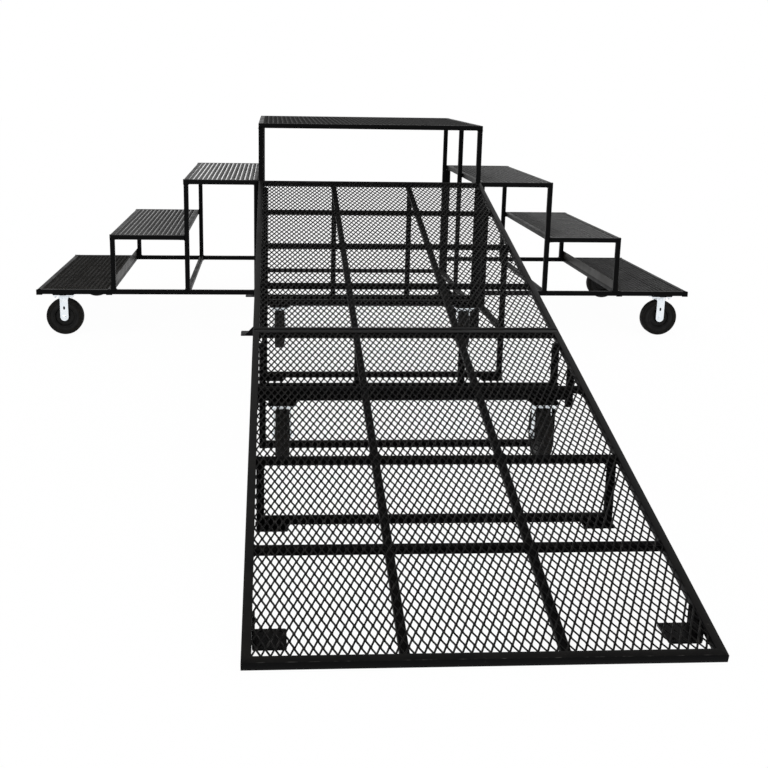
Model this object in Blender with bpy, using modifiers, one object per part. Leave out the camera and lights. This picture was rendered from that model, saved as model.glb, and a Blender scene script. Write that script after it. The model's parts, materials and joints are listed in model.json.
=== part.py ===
# A portable stage ramp on casters: a mesh platform, a stair wing at each side and a ramp
# in two sections that butts against the platform's front legs.
# Metres, +Z up. X runs across, the ramp comes down towards -Y.
# The origin is on the floor under the middle of the whole set.

import math

import bmesh
import bpy
from mathutils import Matrix, Vector

INCH = 0.0254

# Modules
PLATFORM_WIDTH = 48 * INCH
PLATFORM_DEPTH = 48 * INCH
TREAD_RUN = 16 * INCH
RISE = 12 * INCH
# The ramp butts against the platform's front legs, so it is as wide as they stand.
RAMP_WIDTH = PLATFORM_WIDTH
SECTION_LENGTH = 72 * INCH

# Steel stock
TUBE = 1 * INCH
JOIST = 0.75 * INCH
PLATE = 0.25 * INCH
KICK_THICKNESS = 0.125 * INCH
KICK_HEIGHT = 2.8 * INCH
MESH_THICKNESS = 0.0034
STRAND_WIDTH = 0.009
CELL_ACROSS = 0.17
CELL_ALONG = 0.4
HOLE_CUT_LENGTH = 0.01

# Fits
GAP = 0.0003
LAP = 0.002
WELD_LAP = 0.012

# Joist pattern
RAMP_BAYS_ALONG = 4
RAMP_BAYS_ACROSS = 3
DECK_BAYS = 3
TREAD_BAYS = 3

# Casters
WHEEL_DIAMETER = 8 * INCH
WHEEL_WIDTH = 2 * INCH
WHEEL_HEADROOM = 0.655 * INCH
CASTER_PLATE_ACROSS = 4 * INCH
CASTER_PLATE_ALONG = 4.5 * INCH
CASTER_PLATE_THICKNESS = 0.1875 * INCH
FORK_THICKNESS = 0.004
FORK_LEG_WIDTH = 0.048
FORK_SHOULDER_WIDTH = 0.072
FORK_SHOULDER_DROP = 0.034
FORK_SLOT_WIDTH = 0.010
FORK_SLOT_HEIGHT = 0.016
FORK_BRIDGE_INSET = 0.0005
HUB_DIAMETER = 0.046
HUB_OVERHANG = 0.0025
HUB_CLEARANCE = 0.0006
WEB_RECESS = 0.012
TYRE_DEPTH = 0.024
TREAD_CORNER = 0.007
AXLE_DIAMETER = 0.5 * INCH
RUNNING_CLEARANCE = 0.0001
BOLT_HEAD_WIDTH = 0.019
BOLT_HEAD_HEIGHT = 0.008
NUT_HEIGHT = 0.011
WING_CASTER_INSET = 5.5 * INCH
WING_CASTER_SETBACK = 2.25 * INCH
RAMP_CASTER_INSET = 4.5 * INCH
RAMP_CASTER_SETBACK = 10 * INCH
MOUNT_PLATE_MARGIN = 0.008

# Legs and undercarriage
STRETCHER_HEIGHT = 6.1 * INCH
PLATFORM_FOOT = 2 * INCH
FOOT = 4 * INCH
GUSSET_HEIGHT = 0.055
GUSSET_REACH = 0.036
WING_GUSSET_REACH = 0.054
END_FRAME_SETBACK = 4 * INCH
TIE_DROP = 0.5 * INCH
HANGER_TAIL = 1.1 * INCH
TOE_FOOT_SETBACK = 4 * INCH

# Facets
WHEEL_SIDES = 16
SHANK_SIDES = 12
ROUND_END_SIDES = 6
HEXAGON = 6
SMOOTH_ANGLE = 35
FLAT_ANGLE = 0.5
MERGE_DISTANCE = 0.00001

# A caster is 9 in high from the floor to the top of its plate.
CASTER_HEIGHT = WHEEL_DIAMETER + WHEEL_HEADROOM + FORK_THICKNESS + CASTER_PLATE_THICKNESS
BASE_BOTTOM = CASTER_HEIGHT + PLATE
LOW_TOP = BASE_BOTTOM + TUBE
MID_TOP = LOW_TOP + RISE
HIGH_TOP = MID_TOP + RISE
DECK_TOP = HIGH_TOP + RISE
WING_LENGTH = 3 * TREAD_RUN
TIE_BOTTOM = BASE_BOTTOM - TIE_DROP - JOIST
JOIST_TOP = MESH_THICKNESS + GAP
JOIST_BOTTOM = JOIST_TOP + JOIST

# The slope that brings the lower front edge of both sections down to the floor
SLOPE_LENGTH = 2 * SECTION_LENGTH + GAP
SLOPE = math.asin(HIGH_TOP / math.hypot(SLOPE_LENGTH, TUBE)) - math.atan2(TUBE, SLOPE_LENGTH)
RAMP_STANDOFF = TUBE * math.sin(SLOPE) + GAP
RAMP_RUN = RAMP_STANDOFF + SLOPE_LENGTH * math.cos(SLOPE)
FRONT = (RAMP_RUN - PLATFORM_DEPTH) / 2


def clear_scene():
    for obj in list(bpy.data.objects):
        bpy.data.objects.remove(obj, do_unlink=True)


def new_collection(name):
    found = bpy.data.collections.new(name)
    bpy.context.scene.collection.children.link(found)
    return found


def paint(name, colour, roughness, metallic):
    made = bpy.data.materials.new(name)
    made.use_nodes = True
    shader = made.node_tree.nodes['Principled BSDF']
    shader.inputs['Base Color'].default_value = (*colour, 1)
    shader.inputs['Roughness'].default_value = roughness
    shader.inputs['Metallic'].default_value = metallic
    made.diffuse_color = (*colour, 1)
    return made


def empty(name, location, parent=None, tilt=0.0):
    made = bpy.data.objects.new(name, None)
    made.location = location
    made.rotation_euler = (tilt, 0, 0)
    made.parent = parent
    ramp.objects.link(made)
    return made


def add_part(name, mesh, finish, parent, location=(0, 0, 0), turn=0.0):
    """A named piece of the ramp; turn is about Z."""
    made = bpy.data.objects.new(name, mesh)
    if not mesh.materials:
        mesh.materials.append(finish)
    made.parent = parent
    made.location = location
    made.rotation_euler = (0, 0, turn)
    ramp.objects.link(made)
    return made


def mesh_from(bm, name):
    mesh = bpy.data.meshes.new(name)
    bm.to_mesh(mesh)
    bm.free()
    return mesh


def bar(low, high):
    """A square-cut length of tube or plate between two opposite corners, in any order."""
    low, high = Vector(map(min, low, high)), Vector(map(max, low, high))
    bm = bmesh.new()
    bmesh.ops.create_cube(bm, size=1)
    bmesh.ops.scale(bm, vec=high - low, verts=bm.verts)
    bmesh.ops.translate(bm, vec=(low + high) / 2, verts=bm.verts)
    return mesh_from(bm, 'bar')


def bar_to_slope(low, high, height_at):
    """A bar whose upper end is cut to the sloping height that height_at gives for each Y."""
    mesh = bar(low, high)
    middle = (low[2] + high[2]) / 2
    for vertex in mesh.vertices:
        if vertex.co.z > middle:
            vertex.co.z = height_at(vertex.co.y)
    return mesh


def gusset(corner, along, width, reach, height):
    """A triangular plate: its right angle at corner, reach along a direction, width across it."""
    bm = bmesh.new()
    across = Vector((-along[1], along[0], 0)) * width / 2
    foot, out = Vector(corner), Vector(corner) + Vector(along) * reach
    peak = foot + Vector((0, 0, height))
    side = [bm.verts.new(point - across) for point in (foot, out, peak)]
    face = bm.faces.new(side)
    grown = bmesh.ops.extrude_face_region(bm, geom=[face])
    moved = [item for item in grown['geom'] if isinstance(item, bmesh.types.BMVert)]
    bmesh.ops.translate(bm, vec=2 * across, verts=moved)
    bmesh.ops.recalc_face_normals(bm, faces=bm.faces)
    return mesh_from(bm, 'gusset')


def cylinder(radius, start, end, sides):
    """A round or hexagonal bar along X."""
    bm = bmesh.new()
    bmesh.ops.create_cone(
        bm, cap_ends=True, segments=sides, radius1=radius, radius2=radius, depth=end - start
    )
    bmesh.ops.rotate(bm, matrix=Matrix.Rotation(math.pi / 2, 3, 'Y'), verts=bm.verts)
    bmesh.ops.translate(bm, vec=((start + end) / 2, 0, 0), verts=bm.verts)
    return mesh_from(bm, 'cylinder')


def boolean(base, tools, operation, solver='EXACT'):
    """The mesh of base with every tool mesh joined to it or cut from it."""
    body = bpy.data.objects.new('body', base)
    cutters.objects.link(body)
    helpers = []
    for tool in tools:
        helper = bpy.data.objects.new('helper', tool)
        helper.hide_render = True
        helper.display_type = 'WIRE'
        cutters.objects.link(helper)
        helpers.append(helper)
        step = body.modifiers.new(operation, 'BOOLEAN')
        step.operation = operation
        step.solver = solver
        step.object = helper
    evaluated = body.evaluated_get(bpy.context.evaluated_depsgraph_get())
    result = bpy.data.meshes.new_from_object(evaluated)
    for helper in [body, *helpers]:
        bpy.data.objects.remove(helper)
    return result


def welded(pieces):
    """One closed mesh from overlapping lengths, with the joint lines on flat faces dissolved.

    The tubes' faces lie flush with each other, which only the manifold solver joins cleanly.
    """
    mesh = boolean(pieces[0], pieces[1:], 'UNION', 'MANIFOLD')
    bm = bmesh.new()
    bm.from_mesh(mesh)
    bmesh.ops.remove_doubles(bm, verts=bm.verts, dist=MERGE_DISTANCE)
    limit = math.radians(FLAT_ANGLE)
    bmesh.ops.dissolve_limit(bm, angle_limit=limit, verts=bm.verts, edges=bm.edges)
    return mesh_from(bm, 'welded')


def shaded(mesh):
    mesh.shade_smooth()
    mesh.set_sharp_from_angle(angle=math.radians(SMOOTH_ANGLE))
    return mesh


def expanded_metal(width, length):
    """A panel of diamond mesh in the XY plane, centred on X, from Y = 0 to -length, top at Z = 0."""
    across = max(2, round(width / CELL_ACROSS))
    along = max(2, round(length / CELL_ALONG))
    half_x, half_y = width / across / 2, length / along / 2
    slant = half_x * half_y / math.hypot(half_x, half_y)
    opening = 1 - STRAND_WIDTH / 2 / slant
    holes = bmesh.new()
    for row in range(2 * along + 1):
        for column in range(2 * across + 1):
            if (row + column) % 2:
                continue
            made = bmesh.ops.create_cone(
                holes, cap_ends=True, segments=4, radius1=1, radius2=1, depth=HOLE_CUT_LENGTH
            )
            bmesh.ops.scale(holes, vec=(half_x * opening, half_y * opening, 1), verts=made['verts'])
            place = (column * half_x - width / 2, -row * half_y, -MESH_THICKNESS / 2)
            bmesh.ops.translate(holes, vec=place, verts=made['verts'])
    sheet = bar((-width / 2, -length, -MESH_THICKNESS), (width / 2, 0, 0))
    return boolean(sheet, [mesh_from(holes, 'holes')], 'DIFFERENCE')


def wheel_mesh():
    """A solid-rubber wheel on its hub, turned about X, with the bore for its axle."""
    radius, half = WHEEL_DIAMETER / 2, WHEEL_WIDTH / 2
    bore = (AXLE_DIAMETER / 2 + RUNNING_CLEARANCE) / math.cos(math.pi / WHEEL_SIDES)
    hub, rim = HUB_DIAMETER / 2, radius - TYRE_DEPTH
    face, web = half + HUB_OVERHANG, half - WEB_RECESS
    upper = [
        (bore, face),
        (hub, face),
        (hub, web),
        (rim - WEB_RECESS, web),
        (rim, half),
        (radius - TREAD_CORNER, half),
        (radius, half - TREAD_CORNER),
    ]
    profile = upper + [(r, -x) for r, x in reversed(upper)]
    bm = bmesh.new()
    ring = [bm.verts.new((r, 0, x)) for r, x in profile]
    for start, end in zip(ring, ring[1:] + ring[:1]):
        bm.edges.new((start, end))
    turned = bpy.data.objects.new('turned', mesh_from(bm, 'profile'))
    cutters.objects.link(turned)
    screw = turned.modifiers.new('turn', 'SCREW')
    screw.steps = screw.render_steps = WHEEL_SIDES
    screw.use_merge_vertices = True
    screw.merge_threshold = MERGE_DISTANCE
    evaluated = turned.evaluated_get(bpy.context.evaluated_depsgraph_get())
    mesh = bpy.data.meshes.new_from_object(evaluated)
    bpy.data.objects.remove(turned)
    mesh.transform(Matrix.Rotation(math.pi / 2, 4, 'Y'))
    return shaded(mesh)


def fork_leg(x):
    """One pressed leg of the fork, in the YZ plane at x, with its axle hole and its slot."""
    top = CASTER_HEIGHT - WHEEL_DIAMETER / 2 - CASTER_PLATE_THICKNESS / 2
    leg, shoulder = FORK_LEG_WIDTH / 2, FORK_SHOULDER_WIDTH / 2
    neck = top - FORK_SHOULDER_DROP
    turns = [math.pi * step / ROUND_END_SIDES for step in range(ROUND_END_SIDES + 1)]
    outline = [(-shoulder, top), (-leg, neck)]
    outline += [(-leg * math.cos(turn), -leg * math.sin(turn)) for turn in turns]
    outline += [(leg, neck), (shoulder, top)]
    slot_middle = (neck + FORK_LEG_WIDTH / 2) / 2
    slot_x, slot_z = FORK_SLOT_WIDTH / 2, FORK_SLOT_HEIGHT / 2
    slot = [(a * slot_x, slot_middle + b * slot_z) for a, b in ((-1, -1), (1, -1), (1, 1), (-1, 1))]
    hole = (AXLE_DIAMETER / 2 + GAP) / math.cos(math.pi / SHANK_SIDES)
    steps = [2 * math.pi * step / SHANK_SIDES for step in range(SHANK_SIDES)]
    axle_hole = [(hole * math.cos(turn), hole * math.sin(turn)) for turn in steps]
    curve = bpy.data.curves.new('leg', 'CURVE')
    curve.dimensions = '2D'
    curve.fill_mode = 'BOTH'
    curve.extrude = FORK_THICKNESS / 2
    for points in (outline, slot, axle_hole):
        spline = curve.splines.new('POLY')
        spline.points.add(len(points) - 1)
        for point, (a, b) in zip(spline.points, points):
            point.co = (a, b, 0, 1)
        spline.use_cyclic_u = True
    drawn = bpy.data.objects.new('leg', curve)
    cutters.objects.link(drawn)
    evaluated = drawn.evaluated_get(bpy.context.evaluated_depsgraph_get())
    mesh = bpy.data.meshes.new_from_object(evaluated)
    bpy.data.objects.remove(drawn)
    stand = Matrix(((0, 0, 1, x), (1, 0, 0, 0), (0, 1, 0, 0), (0, 0, 0, 1)))
    mesh.transform(stand)
    bm = bmesh.new()
    bm.from_mesh(mesh)
    bmesh.ops.remove_doubles(bm, verts=bm.verts, dist=MERGE_DISTANCE)
    bmesh.ops.recalc_face_normals(bm, faces=bm.faces)
    return mesh_from(bm, 'leg')


def fork_mesh():
    """The rigid fork: a top plate, the bridge under it and a leg each side, origin on the axle."""
    plate_top = CASTER_HEIGHT - WHEEL_DIAMETER / 2
    plate_bottom = plate_top - CASTER_PLATE_THICKNESS
    across, along = CASTER_PLATE_ACROSS / 2, CASTER_PLATE_ALONG / 2
    middle = fork_inside() + FORK_THICKNESS / 2
    outside = fork_inside() + FORK_THICKNESS - FORK_BRIDGE_INSET
    shoulder = FORK_SHOULDER_WIDTH / 2 - LAP
    pieces = [
        bar((-across, -along, plate_bottom), (across, along, plate_top)),
        bar(
            (-outside, -shoulder, plate_bottom - FORK_THICKNESS),
            (outside, shoulder, plate_bottom + LAP),
        ),
        fork_leg(-middle),
        fork_leg(middle),
    ]
    return shaded(welded(pieces))


def fork_inside():
    return WHEEL_WIDTH / 2 + HUB_OVERHANG + HUB_CLEARANCE


def axle_mesh():
    """The wheel's bolt along X: shank, hexagon head and lock nut."""
    radius = AXLE_DIAMETER / 2
    hexagon = BOLT_HEAD_WIDTH / 2 / math.cos(math.pi / HEXAGON)
    outside = fork_inside() + FORK_THICKNESS + GAP
    pieces = [
        cylinder(radius, -outside - LAP, outside + NUT_HEIGHT + LAP, SHANK_SIDES),
        cylinder(hexagon, -outside - BOLT_HEAD_HEIGHT, -outside, HEXAGON),
        cylinder(hexagon, outside, outside + NUT_HEIGHT, HEXAGON),
    ]
    return shaded(welded(pieces))


def add_caster(prefix, parent, x, y, turn):
    """A rigid caster: its fork, its wheel and the bolt that the wheel turns on."""
    axle = (x, y, WHEEL_DIAMETER / 2)
    add_part(prefix + '_fork', fork, zinc, parent, axle, turn)
    add_part(prefix + '_wheel', wheel, rubber, parent, axle, turn)
    add_part(prefix + '_axle_bolt', axle_bolt, zinc, parent, axle, turn)


def add_platform():
    """The middle module: a square deck on six legs."""
    parent = empty('platform', (0, FRONT, 0))
    half = PLATFORM_WIDTH / 2
    back = PLATFORM_DEPTH
    ring_bottom, joist_low, joist_high = -TUBE, -JOIST_BOTTOM, -JOIST_TOP
    pieces = [
        bar((-half, 0, ring_bottom), (-half + TUBE, back, 0)),
        bar((half - TUBE, 0, ring_bottom), (half, back, 0)),
        bar((-half, 0, ring_bottom), (half, TUBE, 0)),
        bar((-half, back - TUBE, ring_bottom), (half, back, 0)),
    ]
    for bay in range(1, DECK_BAYS):
        x = -half + PLATFORM_WIDTH * bay / DECK_BAYS
        y = PLATFORM_DEPTH * bay / DECK_BAYS
        pieces.append(bar((x - JOIST / 2, LAP, joist_low), (x + JOIST / 2, back - LAP, joist_high)))
        pieces.append(bar((-half + LAP, y - JOIST / 2, joist_low), (half - LAP, y + JOIST / 2, joist_high)))
    add_part('platform_deck_frame', welded(pieces), black, parent, (0, 0, DECK_TOP))
    inside = TUBE + GAP
    panel = expanded_metal(PLATFORM_WIDTH - 2 * inside, PLATFORM_DEPTH - 2 * inside)
    add_part('platform_deck_mesh', panel, mesh_black, parent, (0, back - inside, DECK_TOP))

    leg_top = DECK_TOP - TUBE - GAP
    leg_starts = (0, (PLATFORM_DEPTH - TUBE) / 2, PLATFORM_DEPTH - TUBE)
    foot_overhang = (PLATFORM_FOOT - TUBE) / 2
    for side, name in ((-1, 'left'), (1, 'right')):
        outer, inner = side * half, side * (half - TUBE)
        pieces = []
        for start in leg_starts:
            pieces.append(bar((outer, start, PLATE - LAP), (inner, start + TUBE, leg_top)))
            foot_start = min(max(start - foot_overhang, 0), PLATFORM_DEPTH - PLATFORM_FOOT)
            foot_inner = side * (half - PLATFORM_FOOT)
            pieces.append(bar((outer, foot_start, 0), (foot_inner, foot_start + PLATFORM_FOOT, PLATE)))
        middle = side * (half - TUBE / 2)
        pieces.append(
            bar(
                (middle - JOIST / 2, LAP, STRETCHER_HEIGHT),
                (middle + JOIST / 2, back - LAP, STRETCHER_HEIGHT + JOIST),
            )
        )
        add_part(f'platform_{name}_leg_frame', welded(pieces), black, parent)
    reach = half - TUBE - GAP
    for name, start in (('middle', leg_starts[1]), ('back', leg_starts[2])):
        y = start + TUBE / 2
        low = (-reach, y - JOIST / 2, STRETCHER_HEIGHT)
        high = (reach, y + JOIST / 2, STRETCHER_HEIGHT + JOIST)
        add_part(f'platform_{name}_stretcher', bar(low, high), black, parent)


def add_wing(side, name):
    """A stair wing: three treads going down outwards, casters at its outer end."""
    parent = empty(f'{name}_wing', (side * (PLATFORM_WIDTH / 2 + GAP), FRONT, 0))
    mid_start, high_start = 2 * TREAD_RUN, TREAD_RUN
    # Distances along the wing are measured outwards from its inner end.
    for end, front_face in (('front', 0), ('back', PLATFORM_DEPTH - TUBE)):
        y0, y1 = front_face, front_face + TUBE
        foot_y = 0 if end == 'front' else PLATFORM_DEPTH - FOOT
        gusset_y = (y0 + y1) / 2
        pieces = [
            bar((0, y0, BASE_BOTTOM), (side * WING_LENGTH, y1, LOW_TOP)),
            bar((side * (high_start - LAP), y0, MID_TOP - TUBE), (side * mid_start, y1, MID_TOP)),
            bar((0, y0, HIGH_TOP - TUBE), (side * high_start, y1, HIGH_TOP)),
            bar((side * (mid_start - TUBE), y0, BASE_BOTTOM), (side * mid_start, y1, MID_TOP)),
            bar((side * (high_start - TUBE), y0, BASE_BOTTOM), (side * high_start, y1, HIGH_TOP)),
            bar((0, y0, PLATE - LAP), (side * TUBE, y1, HIGH_TOP)),
            bar((0, foot_y, 0), (side * FOOT, foot_y + FOOT, PLATE)),
            gusset(
                (side * (TUBE - LAP), gusset_y, PLATE - LAP),
                (side, 0, 0),
                PLATE,
                WING_GUSSET_REACH,
                GUSSET_HEIGHT,
            ),
        ]
        add_part(f'{name}_wing_{end}_frame', welded(pieces), black, parent)

    y0, y1 = TUBE + GAP, PLATFORM_DEPTH - TUBE - GAP
    tread_levels = (('low', 3, LOW_TOP), ('mid', 2, MID_TOP), ('high', 1, HIGH_TOP))
    for level, step, top in tread_levels:
        outer, inner = side * step * TREAD_RUN, side * (step - 1) * TREAD_RUN
        joist_low, joist_high = top - JOIST_BOTTOM, top - JOIST_TOP
        pieces = [
            bar((outer, y0, top - TUBE), (outer - side * TUBE, y1, top)),
            bar((inner, y0, top - TUBE), (inner + side * TUBE, y1, top)),
        ]
        for bay in range(1, TREAD_BAYS):
            y = PLATFORM_DEPTH * bay / TREAD_BAYS
            pieces.append(
                bar(
                    (outer - side * LAP, y - JOIST / 2, joist_low),
                    (inner + side * LAP, y + JOIST / 2, joist_high),
                )
            )
        if level == 'low':
            pieces += caster_rail(side, y0, y1)
            kick = bar(
                (inner, y0, BASE_BOTTOM), (inner + side * KICK_THICKNESS, y1, BASE_BOTTOM + KICK_HEIGHT)
            )
            pieces.append(kick)
        add_part(f'{name}_wing_{level}_tread_frame', welded(pieces), black, parent)
        inside = TUBE + GAP
        panel = expanded_metal(TREAD_RUN - 2 * inside, PLATFORM_DEPTH - 2 * inside)
        place = ((outer + inner) / 2, PLATFORM_DEPTH - inside, top)
        add_part(f'{name}_wing_{level}_tread_mesh', panel, mesh_black, parent, place)

    tie = bar((side * (high_start - TUBE), y0, BASE_BOTTOM), (side * high_start, y1, LOW_TOP))
    add_part(f'{name}_wing_base_tube', tie, black, parent)
    x = side * (WING_LENGTH - WING_CASTER_INSET)
    add_caster(f'{name}_front', parent, x, WING_CASTER_SETBACK, math.pi / 2)
    add_caster(f'{name}_back', parent, x, PLATFORM_DEPTH - WING_CASTER_SETBACK, math.pi / 2)


def caster_rail(side, y0, y1):
    """The tube along the low tread that carries both caster plates, with the plates."""
    x = side * (WING_LENGTH - WING_CASTER_INSET)
    plate_x = CASTER_PLATE_ALONG / 2 + MOUNT_PLATE_MARGIN
    plate_y = CASTER_PLATE_ACROSS / 2 + MOUNT_PLATE_MARGIN / 2
    plate_low, plate_high = CASTER_HEIGHT + GAP, BASE_BOTTOM - GAP
    pieces = [bar((x - TUBE / 2, y0, plate_high - LAP), (x + TUBE / 2, y1, LOW_TOP - JOIST_TOP))]
    for y in (WING_CASTER_SETBACK, PLATFORM_DEPTH - WING_CASTER_SETBACK):
        pieces.append(bar((x - plate_x, y - plate_y, plate_low), (x + plate_x, y + plate_y, plate_high)))
    return pieces


def add_ramp_section(name, top_edge, to_floor):
    """One sloping section. top_edge is (Y, Z) of the top edge of its upper end."""
    edge_y, edge_z = top_edge
    parent = empty(f'{name}_ramp', (0, edge_y, 0))
    deck = empty(f'{name}_ramp_slope', (0, 0, edge_z), parent, SLOPE)
    half, length = RAMP_WIDTH / 2, SECTION_LENGTH
    pieces = [
        bar((-half, -length, -TUBE), (-half + TUBE, 0, 0)),
        bar((half - TUBE, -length, -TUBE), (half, 0, 0)),
        bar((-half, -TUBE, -TUBE), (half, 0, 0)),
        bar((-half, -length, -TUBE), (half, TUBE - length, 0)),
    ]
    rail_places = [half * (2 * bay / RAMP_BAYS_ACROSS - 1) for bay in range(1, RAMP_BAYS_ACROSS)]
    for x in rail_places:
        low = (x - JOIST / 2, LAP - length, -JOIST_BOTTOM)
        pieces.append(bar(low, (x + JOIST / 2, -LAP, -JOIST_TOP)))
    for bay in range(1, RAMP_BAYS_ALONG):
        y = -length * bay / RAMP_BAYS_ALONG
        low = (LAP - half, y - JOIST / 2, -JOIST_BOTTOM)
        pieces.append(bar(low, (half - LAP, y + JOIST / 2, -JOIST_TOP)))
    add_part(f'{name}_ramp_deck_frame', welded(pieces), black, deck)
    inside = TUBE + GAP
    panel = expanded_metal(RAMP_WIDTH - 2 * inside, length - 2 * inside)
    add_part(f'{name}_ramp_mesh', panel, mesh_black, deck, (0, -inside, 0))

    def under(depth):
        """The height, at a distance Y before the top edge, of the plane that far below the deck."""
        return lambda y: edge_z + y * math.tan(SLOPE) - depth / math.cos(SLOPE) - GAP

    post_out, post_in = half - TUBE - GAP, half - 2 * TUBE - GAP
    mid_y = JOIST_BOTTOM * math.sin(SLOPE) - length / 2 * math.cos(SLOPE)
    end_y1 = -END_FRAME_SETBACK
    end_y0 = end_y1 - TUBE
    end_middle = (end_y0 + end_y1) / 2
    post_bottom = 0 if to_floor else TIE_BOTTOM
    pieces = [
        bar((-post_out, end_y0, BASE_BOTTOM), (post_out, end_y1, LOW_TOP)),
        bar(
            (LAP - post_out, end_middle - JOIST / 2, TIE_BOTTOM),
            (post_out - LAP, end_middle + JOIST / 2, TIE_BOTTOM + JOIST),
        ),
    ]
    for side in (-1, 1):
        low, high = (side * post_out, end_y0, post_bottom), (side * post_in, end_y1, edge_z)
        pieces.append(bar_to_slope(low, high, under(JOIST_TOP)))
    for x in rail_places:
        low = (x - JOIST / 2, end_middle - JOIST / 2, TIE_BOTTOM)
        high = (x + JOIST / 2, end_middle + JOIST / 2, edge_z)
        pieces.append(bar_to_slope(low, high, under(JOIST_BOTTOM)))
    if to_floor:
        pieces.append(bar((-post_out, end_y0, 0), (post_out, end_y1, TUBE)))
    add_part(f'{name}_ramp_end_frame', welded(pieces), black, parent)

    caster_y = -RAMP_CASTER_SETBACK
    cross_y0, cross_y1 = caster_y - TUBE / 2, caster_y + TUBE / 2
    rail_end = cross_y0 if to_floor else mid_y + TUBE / 2 + GAP
    pieces = [bar((-half + LAP, cross_y0, BASE_BOTTOM), (half - LAP, cross_y1, LOW_TOP))]
    caster_x = half - RAMP_CASTER_INSET
    plate_x = CASTER_PLATE_ACROSS / 2 + MOUNT_PLATE_MARGIN
    plate_y = CASTER_PLATE_ALONG / 2 + MOUNT_PLATE_MARGIN / 2
    for side in (-1, 1):
        low = (side * post_out, end_y0 - GAP, BASE_BOTTOM)
        pieces.append(bar(low, (side * post_in, rail_end, LOW_TOP)))
        low = (side * half, cross_y0, BASE_BOTTOM - HANGER_TAIL)
        high = (side * (half - TUBE), cross_y1, edge_z)
        pieces.append(bar_to_slope(low, high, under(TUBE)))
        x = side * caster_x
        low = (x - plate_x, caster_y - plate_y, CASTER_HEIGHT + GAP)
        pieces.append(bar(low, (x + plate_x, caster_y + plate_y, BASE_BOTTOM + LAP)))
        add_caster(f'{name}_{"left" if side < 0 else "right"}', parent, x, caster_y, 0)
    add_part(f'{name}_ramp_caster_frame', welded(pieces), black, parent)

    mid_y0, mid_y1 = mid_y - TUBE / 2, mid_y + TUBE / 2
    pieces = [bar((-post_out, mid_y0, PLATE), (post_out, mid_y1, PLATE + TUBE))]
    for side in (-1, 1):
        low, high = (side * post_out, mid_y0, PLATE), (side * post_in, mid_y1, edge_z)
        pieces.append(bar_to_slope(low, high, under(JOIST_BOTTOM)))
        low = (side * post_out, mid_y - FOOT / 2, 0)
        pieces.append(bar(low, (side * (post_out - FOOT), mid_y + FOOT / 2, PLATE + LAP)))
        pieces.append(
            gusset(
                (side * (post_out + post_in) / 2, mid_y0 + LAP, PLATE),
                (0, -1, 0),
                PLATE,
                GUSSET_REACH,
                GUSSET_HEIGHT,
            )
        )
    add_part(f'{name}_ramp_leg_frame', welded(pieces), black, parent)

    if to_floor:
        toe_y = -length * math.cos(SLOPE) + TOE_FOOT_SETBACK
        for side, which in ((-1, 'left'), (1, 'right')):
            low = (side * post_out, toe_y, 0)
            plate = bar(low, (side * (post_out - FOOT), toe_y + FOOT, PLATE))
            low = (side * post_out, toe_y + LAP, PLATE - LAP)
            high = (side * (post_out - PLATE), toe_y + FOOT - LAP, edge_z)
            web = bar_to_slope(low, high, under(TUBE - WELD_LAP))
            add_part(f'{name}_ramp_{which}_toe_foot', welded([plate, web]), black, parent)


clear_scene()
ramp = new_collection('portable ramp')
cutters = new_collection('cutters')
cutters.hide_render = True
black = paint('black paint', (0.012, 0.012, 0.013), 0.38, 0.0)
mesh_black = paint('black mesh paint', (0.018, 0.018, 0.019), 0.45, 0.0)
zinc = paint('zinc plate', (0.62, 0.66, 0.70), 0.32, 1.0)
rubber = paint('black rubber', (0.022, 0.021, 0.020), 0.75, 0.0)

fork = fork_mesh()
wheel = wheel_mesh()
axle_bolt = axle_mesh()

add_platform()
add_wing(-1, 'left')
add_wing(1, 'right')
upper_edge = (FRONT - RAMP_STANDOFF, HIGH_TOP)
section_step = SECTION_LENGTH + GAP
lower_edge = (
    upper_edge[0] - section_step * math.cos(SLOPE),
    upper_edge[1] - section_step * math.sin(SLOPE),
)
add_ramp_section('upper', upper_edge, to_floor=False)
add_ramp_section('lower', lower_edge, to_floor=True)
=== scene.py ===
import json
import math
import random

import bmesh
import bpy
from mathutils import Matrix, Vector


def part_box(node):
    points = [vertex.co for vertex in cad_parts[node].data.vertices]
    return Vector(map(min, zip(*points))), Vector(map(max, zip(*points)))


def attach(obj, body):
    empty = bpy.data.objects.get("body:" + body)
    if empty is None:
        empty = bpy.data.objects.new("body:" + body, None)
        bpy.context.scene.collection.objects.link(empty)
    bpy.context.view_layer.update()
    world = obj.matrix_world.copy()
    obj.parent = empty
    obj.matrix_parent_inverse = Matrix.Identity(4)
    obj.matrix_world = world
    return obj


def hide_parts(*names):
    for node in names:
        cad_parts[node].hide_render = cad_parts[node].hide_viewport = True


# Looks for the portable ramp: mesh platform, two stair wings and a ramp in two sections.
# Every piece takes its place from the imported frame.

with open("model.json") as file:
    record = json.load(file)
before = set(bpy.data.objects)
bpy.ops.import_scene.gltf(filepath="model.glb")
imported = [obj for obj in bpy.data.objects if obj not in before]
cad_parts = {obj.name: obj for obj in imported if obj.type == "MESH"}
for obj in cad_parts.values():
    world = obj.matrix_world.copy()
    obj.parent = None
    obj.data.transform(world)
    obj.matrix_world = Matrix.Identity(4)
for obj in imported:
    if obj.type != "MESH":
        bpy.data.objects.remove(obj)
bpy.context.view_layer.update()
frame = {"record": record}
random.seed(7)

inch = 0.0254
stock = {
    "tube": inch,
    "joistDepth": 0.0214,
    "plate": 0.25 * inch,
    "tubeCorner": 0.0026,
    "capInset": 0.0019,
    "capRim": 0.0006,
    "capDepth": 0.0005,
    "meshThickness": 0.0034,
    "gap": 0.0003,
}
tube, joist, plate, gap = stock["tube"], stock["joistDepth"], stock["plate"], stock["gap"]
half = tube / 2
bothSides = (("left", -1), ("right", 1))
jointAngle = math.radians(35)
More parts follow.
